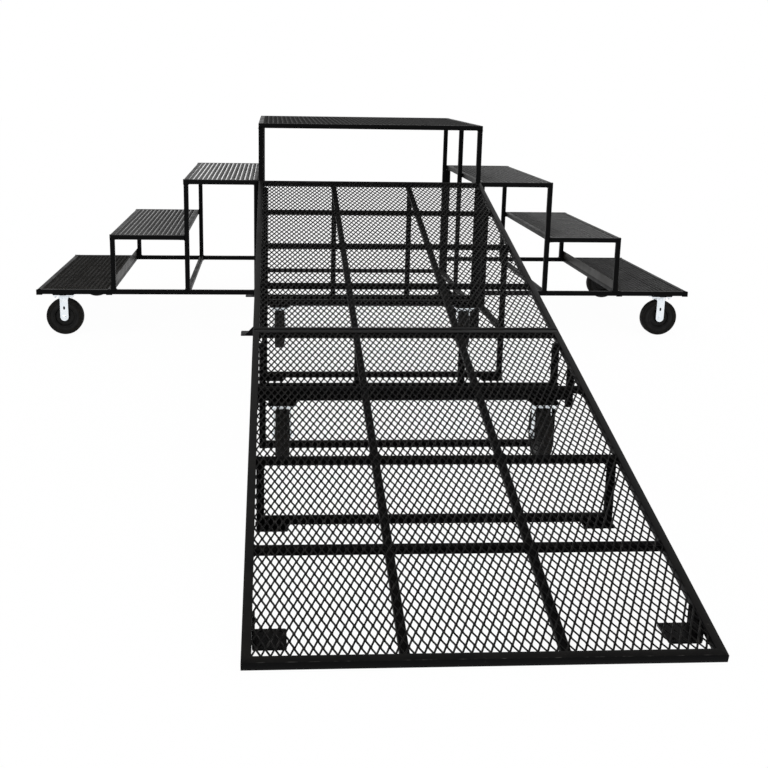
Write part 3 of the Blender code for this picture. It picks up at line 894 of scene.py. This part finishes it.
rampLook = {
    "gussetReach": 0.036,
    "gussetHeight": 0.055,
    "footReach": 2 * tube,
    "tieRise": 0.375 * inch,
    "toeWidth": 3.5 * inch,
    "webInset": 0.002,
    "webSink": 0.001,
    "webSpare": 0.020,
    "webDrop": tube - 0.012,
}
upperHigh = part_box("upper_ramp_deck_frame")[1]
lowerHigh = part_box("lower_ramp_deck_frame")[1]
stepY, stepZ = upperHigh.y - lowerHigh.y, upperHigh.z - lowerHigh.z
slope = math.atan2(stepZ, stepY)
sectionLength = math.hypot(stepY, stepZ) - gap
halfRamp = upperHigh.x
tilt = Matrix.Rotation(slope, 4, "X")
deckNormal = Vector((0, -math.sin(slope), math.cos(slope)))
topEdges = {
    section: Vector((0, high.y - tube * math.sin(slope), high.z))
    for section, high in (("upper", upperHigh), ("lower", lowerHigh))
}
rampThirds = [-halfRamp / 3, halfRamp / 3]
crossbars = [-sectionLength * bay / 4 for bay in (1, 2, 3)]
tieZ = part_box("upper_ramp_end_frame")[0].z + rampLook["tieRise"]
inset = plateLook["holeInset"]


def deckHeight(edge, y):
    return edge.z + (y - edge.y) * math.tan(slope)


def underDeck(edge, pieces, depth):
    # cuts the first of these pieces, the tube, along the plane that far below the deck's top
    cutAbove(pieces[0], edge - deckNormal * depth, deckNormal)
    return pieces


for name in ("upper", "lower"):
    edge = topEdges[name]
    low, high = Vector((-halfRamp, -sectionLength, -tube)), Vector((halfRamp, 0, 0))
    rails = ring(low, high)
    joists = grid(low, high, rampThirds, crossbars)
    for piece in rails + joists:
        piece.data.transform(Matrix.Translation(edge) @ tilt)
    node = f"{name}_ramp_deck_frame"
    assemble(rails, f"{name}_ramp_ring", node)
    assemble(joists, f"{name}_ramp_joists", node, shadePaint)

    node = f"{name}_ramp_end_frame"
    low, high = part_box(node)
    endY, y = low.y, middleOf(node).y
    topZ = deckHeight(edge, y) + tube
    postX = high.x - half
    pieces = crossTube(postX, y, floorRailZ) + crossTube(postX, y, tieZ)
    for x in (-postX, postX):
        pieces += underDeck(edge, run("tube", (x, y, low.z), (x, y, topZ), unwelded), joistTop)
    for x in rampThirds:
        post = run("tube", (x, y, floorRailTop), (x, y, topZ), footWelded)
        pieces += underDeck(edge, post, joistTop + joist)
        pieces += run("tube", (x, y, tieZ + half), (x, y, baseBottom), unwelded)
    if name == "lower":
        pieces += crossTube(postX, y, half, roomBetween(0, farOff))
    assemble(pieces, f"{name}_ramp_end_posts", node, shadePaint)

    node = f"{name}_ramp_caster_frame"
    low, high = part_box(node)
    y = middleOf(f"{name}_left_wheel").y
    hangerX = halfRamp - half
    topZ = deckHeight(edge, y) + tube
    pieces = crossTube(hangerX, y, floorRailZ)
    for which, side in bothSides:
        x = side * hangerX
        pieces += underDeck(edge, run("tube", (x, y, low.z), (x, y, topZ), unwelded), tube)
        x = side * postX
        pieces += run("tube", (x, endY, floorRailZ), (x, y + half, floorRailZ))
        if name == "upper":
            pieces += run("tube", (x, y - half, floorRailZ), (x, low.y, floorRailZ))
        pieces.append(mountPlate(f"{name}_{which}_fork", baseBottom))
    assemble(pieces, f"{name}_ramp_caster_rails", node, shadePaint)

    node = f"{name}_ramp_leg_frame"
    reach = rampLook["footReach"]
    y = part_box(node)[0].y + reach
    topZ = deckHeight(edge, y)
    pieces = crossTube(postX, y, plate + half)
    for x, side in ((-postX, -1), (postX, 1)):
        leg = run("tube", (x, y, plate), (x, y, topZ), footWelded)
        pieces += underDeck(edge, leg, joistTop + joist)
        outerX, innerX = x + side * half, x + side * (half - 2 * reach)
        holes = [(innerX + side * inset, y + end * (reach - inset), plate / 2) for end in (-1, 1)]
        pieces.append(makePlate((outerX, y - reach, 0), (innerX, y + reach, plate), holes=holes))
        pieces.append(gussetPlate((x, y - half, plate), (0, -1, 0), rampLook))
    assemble(pieces, f"{name}_ramp_middle_legs", node, shadePaint)

edge = topEdges["lower"]
for name, side in bothSides:
    node = f"lower_ramp_{name}_toe_foot"
    low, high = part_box(node)
    outerX = side * max(abs(low.x), abs(high.x))
    innerX = outerX - side * rampLook["toeWidth"]
    spotX = (innerX + side * inset, outerX - side * (inset + plate))
    holes = [(x, y, plate / 2) for x in spotX for y in (low.y + inset, high.y - inset)]
    foot = makePlate((outerX, low.y, 0), (innerX, high.y, plate), holes=holes)
    web = makePlate(
        (outerX, low.y + rampLook["webInset"], plate - rampLook["webSink"]),
        (outerX - side * plate, high.y - rampLook["webInset"], high.z + rampLook["webSpare"]),
        corner=0,
    )
    web = cutAbove(web, edge - deckNormal * rampLook["webDrop"], deckNormal)
    assemble([foot, web], f"lower_ramp_{name}_toe_plate", node)
print("ramp frames made")


# mesh panels

def panelFor(name, node):
    low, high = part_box(node)
    return makeLattice(name, high.x - low.x + 2 * gap, high.y - low.y + 2 * gap, True)


def layPanel(panel, name, node, paint):
    low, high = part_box(node)
    place = ((low.x + high.x) / 2, high.y + gap, high.z - meshLattice["drop"])
    dress(copied(panel, Matrix.Translation(place), name), node, paint)


rampPanel = makeLattice("ramp_panel", 2 * (halfRamp - tube), sectionLength - 2 * tube, False)
lift = Matrix.Translation((0, -tube, -meshLattice["drop"]))
for name in ("upper", "lower"):
    place = Matrix.Translation(topEdges[name]) @ tilt @ lift
    piece = copied(rampPanel, place, f"{name}_ramp_expanded_metal")
    dress(piece, f"{name}_ramp_mesh", meshPaint)

treadPanel = panelFor("tread_panel", "left_wing_low_tread_mesh")
for name, side in bothSides:
    for level in levels:
        piece, node = f"{name}_wing_{level}_expanded_metal", f"{name}_wing_{level}_tread_mesh"
        layPanel(treadPanel, piece, node, treadDustAndGlintPaints[f"{name}_{level}"])

deckPanel = panelFor("deck_panel", "platform_deck_mesh")
layPanel(deckPanel, "platform_expanded_metal", "platform_deck_mesh", treadDustAndGlintPaints["deck"])
masters += [rampPanel, treadPanel, deckPanel]
print("mesh panels made")


# casters: modelled once about their axle, wheel turning about X

casterLook = {
    "forkThickness": 0.004,
    "forkGap": 0.0006,
    "plateThickness": 0.1875 * inch,
    "plateCorner": 0.008,
    "legWidth": 0.045,
    "shoulderWidth": 0.056,
    "shoulderDrop": 0.026,
    "bend": 0.006,
    "rim": 0.0007,
    "slotWidth": 0.010,
    "slotHeight": 0.018,
    "slotCutter": 0.2,
    "slotRound": 0.004,
    "slotPlace": 0.42,
    "rivet": 0.0042,
    "rivetFlat": 0.45,
    "rivetSide": 0.010,
    "rivetRise": 0.006,
    "boltCircle": (0.0333, 0.0460),
    "boltRadius": 0.0046,
    "boltLength": 0.004,
    "boltCorners": 16,
    "boltRim": 0.0008,
    "boltPast": 0.001,
    "nut": 0.0143,
    "nutHeight": 0.008,
    "headChamfer": 0.0012,
    "chamferSpread": 1.4,
}
wheelLow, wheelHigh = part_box("upper_left_wheel")
forkLow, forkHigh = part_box("upper_left_fork")
axle = middleOf("upper_left_wheel")
wheelRadius = (wheelHigh.z - wheelLow.z) / 2
hubFace = (wheelHigh.x - wheelLow.x) / 2
legOutside = hubFace + casterLook["forkGap"] + casterLook["forkThickness"]
plateTop = forkHigh.z - axle.z
plateBottom = plateTop - casterLook["plateThickness"]


def hexagon(width, height, start, direction):
    # a hexagonal head along X, its outer rim chamfered
    chamfer = casterLook["headChamfer"]
    radius = width / 2 / math.cos(math.pi / 6)
    cylinder(radius, height, 6, (start + direction * height / 2, 0, 0))
    pick("FACE", lambda face: face.normal.x * direction > squareOn)
    bpy.ops.transform.translate(value=(-direction * chamfer, 0, 0))
    insets((chamfer * casterLook["chamferSpread"], chamfer))
    return leave()


def makeFork():
    look = casterLook
    thick = look["forkThickness"]
    sheetX = legOutside - thick / 2
    legHalf = look["legWidth"] / 2
    neck = plateTop - look["plateThickness"] / 2 - look["shoulderDrop"]
    bendStart = plateBottom - thick / 2 - look["bend"]
    deselectAll()
    bpy.ops.mesh.primitive_circle_add(
        vertices=32, radius=legHalf, fill_type="NOTHING",
        rotation=(0, math.pi / 2, 0), location=(sheetX, 0, 0),
    )
    bpy.ops.object.transform_apply()
    edit()
    pick("VERT", lambda vertex: vertex.co.z > touch)
    bpy.ops.transform.resize(value=(1, 1, 0), center_override=(sheetX, 0, 0))
    bpy.ops.transform.translate(value=(0, 0, neck))
    pickAll()
    bpy.ops.mesh.edge_face_add()
    pick("EDGE", lambda edge: all(end.co.z > neck - touch for end in edge.verts))
    grow = look["shoulderWidth"] / look["legWidth"]
    bpy.ops.mesh.extrude_edges_move(TRANSFORM_OT_translate={"value": (0, 0, bendStart - neck)})
    bpy.ops.transform.resize(value=(1, grow, 1), center_override=(sheetX, 0, 0))
    bpy.ops.mesh.spin(
        steps=4, angle=-math.pi / 2, center=(sheetX - look["bend"], 0, bendStart), axis=(0, 1, 0)
    )
    bpy.ops.mesh.extrude_edges_move(TRANSFORM_OT_translate={"value": (look["bend"] - sheetX, 0, 0)})
    pickAll()
    bpy.ops.mesh.remove_doubles(threshold=touch / 2)
    made = leave()
    applied(made, "MIRROR", use_axis=(True, False, False), merge_threshold=2 * touch)
    turnedOut(made)
    applied(made, "SOLIDIFY", thickness=thick, offset=0)
    slotZ = (neck + legHalf) * look["slotPlace"]
    cube((0, 0, slotZ), (look["slotCutter"], look["slotWidth"], look["slotHeight"]))
    pick("EDGE", lambda edge: abs(span(edge).x) > sheetX)
    bpy.ops.mesh.bevel(offset=look["slotRound"], segments=3, affect="EDGES")
    cutOut(made, leave())
    applied(made, "BEVEL", width=look["rim"], segments=2, limit_method="ANGLE")
    top = makePlate(
        (forkLow.x - axle.x, forkLow.y - axle.y, plateBottom),
        (forkHigh.x - axle.x, forkHigh.y - axle.y, plateTop),
        corner=look["plateCorner"],
    )
    pieces = [smooth(made), top]
    for side in (-1, 1):
        for y in (-look["rivetSide"], look["rivetSide"]):
            spot = (side * legOutside, y, neck + look["rivetRise"])
            deselectAll()
            bpy.ops.mesh.primitive_uv_sphere_add(
                segments=12, ring_count=8, radius=look["rivet"], location=spot
            )
            bpy.ops.object.transform_apply()
            edit()
            bpy.ops.transform.resize(value=(look["rivetFlat"], 1, 1), center_override=spot)
            pieces.append(smooth(leave()))
    boltX, boltY = look["boltCircle"]
    boltZ = plateBottom - look["nutHeight"] - look["boltPast"]
    turn = Matrix.Rotation(-math.pi / 2, 4, "Y")
    for x in (-boltX, boltX):
        for y in (-boltY, boltY):
            nut = hexagon(look["nut"], look["nutHeight"], 0, -1)
            nut.data.transform(Matrix.Translation((x, y, plateBottom)) @ turn)
            pieces.append(nut)
            cylinder(look["boltRadius"], look["boltLength"], look["boltCorners"], (x, y, boltZ), False)
            pick("FACE", lambda face: face.normal.z < -squareOn)
            insets((look["boltRim"], look["boltRim"]))
            pieces.append(leave())
    return joined(pieces, "fork_master")


# each ring is a thickness and a depth, from the tyre's shoulder inwards to the axle
wheelLook = {
    "corners": 72,
    "capNormal": 0.99,
    "tyreHalf": inch,
    "tyreDepth": 0.024,
    "shoulder": 0.0085,
    "tyreRings": (
        (0.0022, 0), (0.0008, -0.0012), (0.0018, 0), (0.0008, 0.0012),
        (0.0024, 0), (0.0010, 0.0011), (0.0020, 0), (0.0010, -0.0011),
    ),
    "tyreBead": 0.0015,
    "tyreAngle": math.radians(40),
    "centreInset": 0.0022,
    "centreRings": (
        (0.0100, -0.0012), (0.0040, 0), (0.0012, 0.0020), (0.0024, 0), (0.0012, -0.0020),
        (0.0042, 0), (0.0060, -0.0108),
    ),
    "hubRings": ((0.003, 0.003), (0.003, 0.009)),
    "hubRadius": 0.023,
    "hubRim": 0.0012,
    "bore": 0.0068,
    "centreAngle": math.radians(30),
}


def reachOf(rings):
    return sum(thickness for thickness, depth in rings)


def makeTyre():
    look = wheelLook
    bead = look["tyreBead"]
    cylinder(wheelRadius, 2 * look["tyreHalf"], look["corners"])
    pick("EDGE", lambda edge: abs(span(edge).x) < touch)
    bpy.ops.mesh.bevel(offset=look["shoulder"], segments=5, profile=0.5, affect="EDGES")
    pick("FACE", lambda face: abs(face.normal.x) > look["capNormal"])
    left = look["tyreDepth"] - look["shoulder"] - reachOf(look["tyreRings"])
    insets(*look["tyreRings"], (left - bead, 0), (bead, -bead))
    bpy.ops.mesh.bridge_edge_loops()
    return smooth(turnedOut(leave()), look["tyreAngle"])


def makeCentre():
    look = wheelLook
    radius, hub, rim = wheelRadius - look["tyreDepth"], look["hubRadius"], look["hubRim"]
    faceX = look["tyreHalf"] - look["centreInset"]
    cylinder(radius, 2 * faceX, look["corners"])
    pick("FACE", lambda face: abs(face.normal.x) > look["capNormal"])
    web = radius - hub - reachOf(look["centreRings"]) - reachOf(look["hubRings"])
    insets(*look["centreRings"], (web, 0), *look["hubRings"])
    insets((rim, hubFace - faceX), (hub - rim - look["bore"], 0))
    bpy.ops.mesh.bridge_edge_loops()
    return smooth(turnedOut(leave()), look["centreAngle"])


boltLook = {
    "radius": 0.25 * inch,
    "corners": 24,
    "spare": 0.014,
    "shift": 0.0045,
    "chamfer": 0.0009,
    "washerRadius": 0.0118,
    "washerCorners": 28,
    "washer": 0.0018,
    "washerRim": (0.0005, 0.0002),
    "head": 0.019,
    "headHeight": 0.0066,
    "nutHeight": 0.0080,
}


def makeAxleBolt():
    # shank, washers, hexagon head and lock nut
    look = boltLook
    cylinder(look["radius"], 2 * legOutside + look["spare"], look["corners"], (look["shift"], 0, 0))
    pick("FACE", lambda face: abs(face.normal.x) > squareOn)
    insets((look["chamfer"], look["chamfer"]))
    pieces = [smooth(leave())]
    for side in (-1, 1):
        centreX = side * (legOutside + look["washer"] / 2)
        cylinder(look["washerRadius"], look["washer"], look["washerCorners"], (centreX, 0, 0))
        pick("FACE", lambda face: face.normal.x * side > squareOn)
        insets(look["washerRim"])
        pieces.append(smooth(leave()))
    start = legOutside + look["washer"]
    pieces.append(hexagon(look["head"], look["headHeight"], -start, -1))
    pieces.append(hexagon(look["head"], look["nutHeight"], start, 1))
    return joined(pieces, "axle_bolt_master")


forkMaster = makeFork()
tyreMaster = makeTyre()
centreMaster = makeCentre()
boltMaster = makeAxleBolt()
masters += [forkMaster, tyreMaster, centreMaster, boltMaster]
print("caster masters made")

casters = [(f"{wing}_{end}", math.pi / 2) for wing in ("left", "right") for end in ("front", "back")]
casters += [(f"{section}_{which}", 0) for section in ("upper", "lower") for which in ("left", "right")]
for prefix, turn in casters:
    place = Matrix.Translation(middleOf(f"{prefix}_wheel")) @ Matrix.Rotation(turn, 4, "Z")
    rolled = place @ Matrix.Rotation(random.uniform(0, 2 * math.pi), 4, "X")
    parts = (
        (forkMaster, place, "pressed_fork", "fork", "zinc_plate", zinc),
        (tyreMaster, rolled, "rubber_tyre", "wheel", "rubber_tyre", rubber),
        (centreMaster, rolled, "wheel_centre", "wheel", "rubber_tyre", wheelCentre),
        (boltMaster, place, "axle_bolt_set", "axle_bolt", "zinc_plate", zinc),
    )
    for master, matrix, piece, node, slot, finish in parts:
        dress(copied(master, matrix, f"{prefix}_{piece}"), f"{prefix}_{node}", finish)
for master in masters:
    bpy.data.objects.remove(master)
print("casters placed")


# floor, light and camera

studio = {
    "floorSize": 60.0,
    "floorCuts": 3,
    "floorShow": 0.97,
    "floorColour": (0.92, 0.92, 0.92, 1),
    "white": (1, 1, 1, 1),
    "worldFill": 0.80,
    "keyStrength": 1.1,
    "keyAngle": 25.0,
    "keyTurn": (38, 12, -28),
}


def emptyTree(holder):
    holder.use_nodes = True
    holder.node_tree.nodes.clear()
    return holder.node_tree


def seenDirectly(tree):
    # 1 where the camera or a reflection sees it, 0 where it only gives light
    rays = tree.nodes.new("ShaderNodeLightPath").outputs
    seen = calc(tree, "MAXIMUM", rays["Is Camera Ray"], rays["Is Glossy Ray"])
    return calc(tree, "MAXIMUM", seen, rays["Is Transmission Ray"])


deselectAll()
bpy.ops.mesh.primitive_plane_add(size=studio["floorSize"], location=(0, 0, 0))
edit()
bpy.ops.mesh.subdivide(number_cuts=studio["floorCuts"])
floor = leave()
floor.name = "studio_floor"
floorFinish = bpy.data.materials.new("studio_white")
tree = emptyTree(floorFinish)
share = times(tree, seenDirectly(tree), studio["floorShow"])
lit = addNode(tree, "ShaderNodeBsdfDiffuse", {"Color": studio["floorColour"]})
glow = addNode(tree, "ShaderNodeEmission", {"Color": studio["white"], "Strength": 1.0})
mix = addNode(tree, "ShaderNodeMixShader", {0: share, 1: lit.outputs[0], 2: glow.outputs[0]})
addNode(tree, "ShaderNodeOutputMaterial", {"Surface": mix.outputs[0]})
floor.data.materials.append(floorFinish)

world = bpy.data.worlds.new("studio")
bpy.context.scene.world = world
tree = emptyTree(world)
strength = between(tree, seenDirectly(tree), 0.0, 1.0, studio["worldFill"], 1.0)
sky = addNode(tree, "ShaderNodeBackground", {"Color": studio["white"], "Strength": strength})
addNode(tree, "ShaderNodeOutputWorld", {"Surface": sky.outputs[0]})

deselectAll()
bpy.ops.object.light_add(type="SUN", rotation=[math.radians(turn) for turn in studio["keyTurn"]])
key = bpy.context.object
key.data.energy = studio["keyStrength"]
key.data.angle = math.radians(studio["keyAngle"])

view = {
    "focal": 50.93,
    "spot": (-0.531, -5.9627, 1.4108),
    "yaw": 0.0614,
    "pitch": -0.2337,
    "roll": 0.0150,
    "shift": (0.06, -0.06),
    "clipEnd": 100,
}
yaw, pitch, roll = view["yaw"], view["pitch"], view["roll"]
right = Vector((math.cos(yaw), -math.sin(yaw), 0))
ahead = Vector((math.sin(yaw) * math.cos(pitch), math.cos(yaw) * math.cos(pitch), math.sin(pitch)))
up = right.cross(ahead)
rolledRight = right * math.cos(roll) + up * math.sin(roll)
rolledUp = up * math.cos(roll) - right * math.sin(roll)
deselectAll()
bpy.ops.object.camera_add()
camera = bpy.context.object
camera.matrix_world = (
    Matrix.Translation((view["spot"][0], front + view["spot"][1], view["spot"][2]))
    @ Matrix((rolledRight, rolledUp, -ahead)).transposed().to_4x4()
)
camera.data.lens = view["focal"]
camera.data.shift_x, camera.data.shift_y = view["shift"]
camera.data.clip_end = view["clipEnd"]
bpy.context.scene.camera = camera
bpy.context.scene.view_settings.view_transform = "Standard"
print("studio set")
